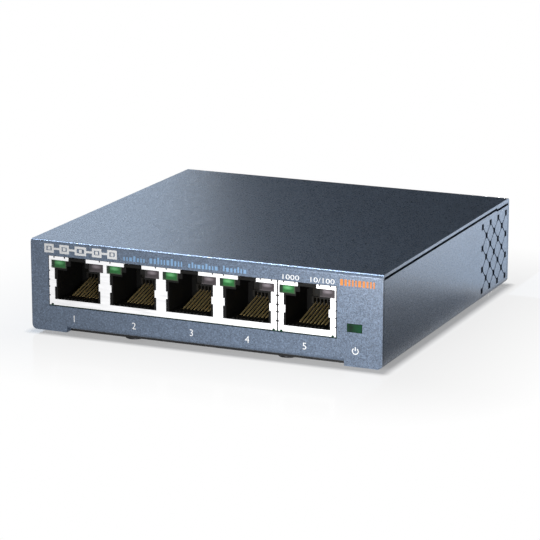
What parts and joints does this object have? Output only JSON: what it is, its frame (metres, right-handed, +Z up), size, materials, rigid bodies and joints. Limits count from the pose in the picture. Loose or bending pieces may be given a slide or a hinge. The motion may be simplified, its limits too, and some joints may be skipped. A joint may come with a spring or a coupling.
{
  "type": "desktop network switch",
  "caption": "Low steel box that joins wired network cables, with a row of modular sockets with lamps in front, vented sides and a round power inlet behind.",
  "frame": {"origin": "on the surface the feet stand on, under the middle of the case", "axes": "+X right seen from the port side, +Y from the port panel to the rear, +Z up"},
  "size_m": [0.1, 0.098, 0.0254],
  "materials": {
    "case_paint": "steel-blue metallic powder coat, semi-gloss with a fine speckle",
    "foot_rubber": "matt black rubber",
    "screw_steel": "nickel-plated",
    "standoff_brass": "machined",
    "board_laminate": "green solder mask",
    "shield_steel": "bright nickel-plated strip",
    "jack_plastic": "black, lightly moulded sheen",
    "contact_gold": "gold-flashed wire",
    "lamp_green": "tinted green resin",
    "lamp_clear": "milky clear resin",
    "lens_green": "dark green light pipe",
    "component_plastic": "black moulding compound",
    "pad_silicone": "soft grey pad",
    "sink_aluminium": "black anodised",
    "can_aluminium": "bright can",
    "inductor_ferrite": "moulded ferrite",
    "ceramic_body": "sintered ceramic",
    "inlet_plastic": "black",
    "terminal_plate": "tin-plated"
  },
  "bodies": {
    "root": {"base_tray": "case_paint", "board_screws": "screw_steel", "board_standoffs": "standoff_brass", "can_capacitors": "can_aluminium", "ceramic_capacitors": "ceramic_body", "clock_crystal": "can_aluminium", "contact_insert_port_1": "jack_plastic", "contact_insert_port_2": "jack_plastic", "contact_insert_port_3": "jack_plastic", "contact_insert_port_4": "jack_plastic", "contact_insert_port_5": "jack_plastic", "contact_tails_port_1": "contact_gold", "contact_tails_port_2": "contact_gold", "contact_tails_port_3": "contact_gold", "contact_tails_port_4": "contact_gold", "contact_tails_port_5": "contact_gold", "cover_screws": "screw_steel", "foot_front_left": "foot_rubber", "foot_front_right": "foot_rubber", "foot_rear_left": "foot_rubber", "foot_rear_right": "foot_rubber", "gang_jack_housing": "jack_plastic", "gang_jack_shield": "shield_steel", "heatsink": "sink_aluminium", "inlet_body": "inlet_plastic", "inlet_centre_pin": "terminal_plate", "inlet_sleeve_spring": "terminal_plate", "input_diode": "component_plastic", "link_lamp_port_1": "lamp_green", "link_lamp_port_2": "lamp_green", "link_lamp_port_3": "lamp_green", "link_lamp_port_4": "lamp_green", "link_lamp_port_5": "lamp_green", "main_board": "board_laminate", "memory_chip": "component_plastic", "power_inductors": "inductor_ferrite", "power_lamp": "lamp_green", "power_lamp_holder": "jack_plastic", "power_lamp_lens": "lens_green", "single_jack_housing": "jack_plastic", "single_jack_shield": "shield_steel", "speed_lamp_port_1": "lamp_clear", "speed_lamp_port_2": "lamp_clear", "speed_lamp_port_3": "lamp_clear", "speed_lamp_port_4": "lamp_clear", "speed_lamp_port_5": "lamp_clear", "switch_chip": "component_plastic", "thermal_pad": "pad_silicone", "top_cover": "case_paint", "transformer_port_1": "component_plastic", "transformer_port_2": "component_plastic", "transformer_port_3": "component_plastic", "transformer_port_4": "component_plastic", "transformer_port_5": "component_plastic", "voltage_regulators": "component_plastic"},
    "contacts_1": {"contact_springs_port_1": "contact_gold"},
    "contacts_2": {"contact_springs_port_2": "contact_gold"},
    "contacts_3": {"contact_springs_port_3": "contact_gold"},
    "contacts_4": {"contact_springs_port_4": "contact_gold"},
    "contacts_5": {"contact_springs_port_5": "contact_gold"}
  },
  "joints": [
    {"name": "contacts_1_press", "type": "hinge", "parent": "root", "child": "contacts_1", "pos_m": [-0.03625, -0.0445, 0.00925], "axis": [1, 0, 0], "range_deg": [-8, 0], "stiffness_Nm_per_rad": 0.02},
    {"name": "contacts_2_press", "type": "hinge", "parent": "root", "child": "contacts_2", "pos_m": [-0.01995, -0.0445, 0.00925], "axis": [1, 0, 0], "range_deg": [-8, 0], "stiffness_Nm_per_rad": 0.02},
    {"name": "contacts_3_press", "type": "hinge", "parent": "root", "child": "contacts_3", "pos_m": [-0.00365, -0.0445, 0.00925], "axis": [1, 0, 0], "range_deg": [-8, 0], "stiffness_Nm_per_rad": 0.02},
    {"name": "contacts_4_press", "type": "hinge", "parent": "root", "child": "contacts_4", "pos_m": [0.01265, -0.0445, 0.00925], "axis": [1, 0, 0], "range_deg": [-8, 0], "stiffness_Nm_per_rad": 0.02},
    {"name": "contacts_5_press", "type": "hinge", "parent": "root", "child": "contacts_5", "pos_m": [0.02935, -0.0445, 0.00925], "axis": [1, 0, 0], "range_deg": [-8, 0], "stiffness_Nm_per_rad": 0.02}
  ]
}
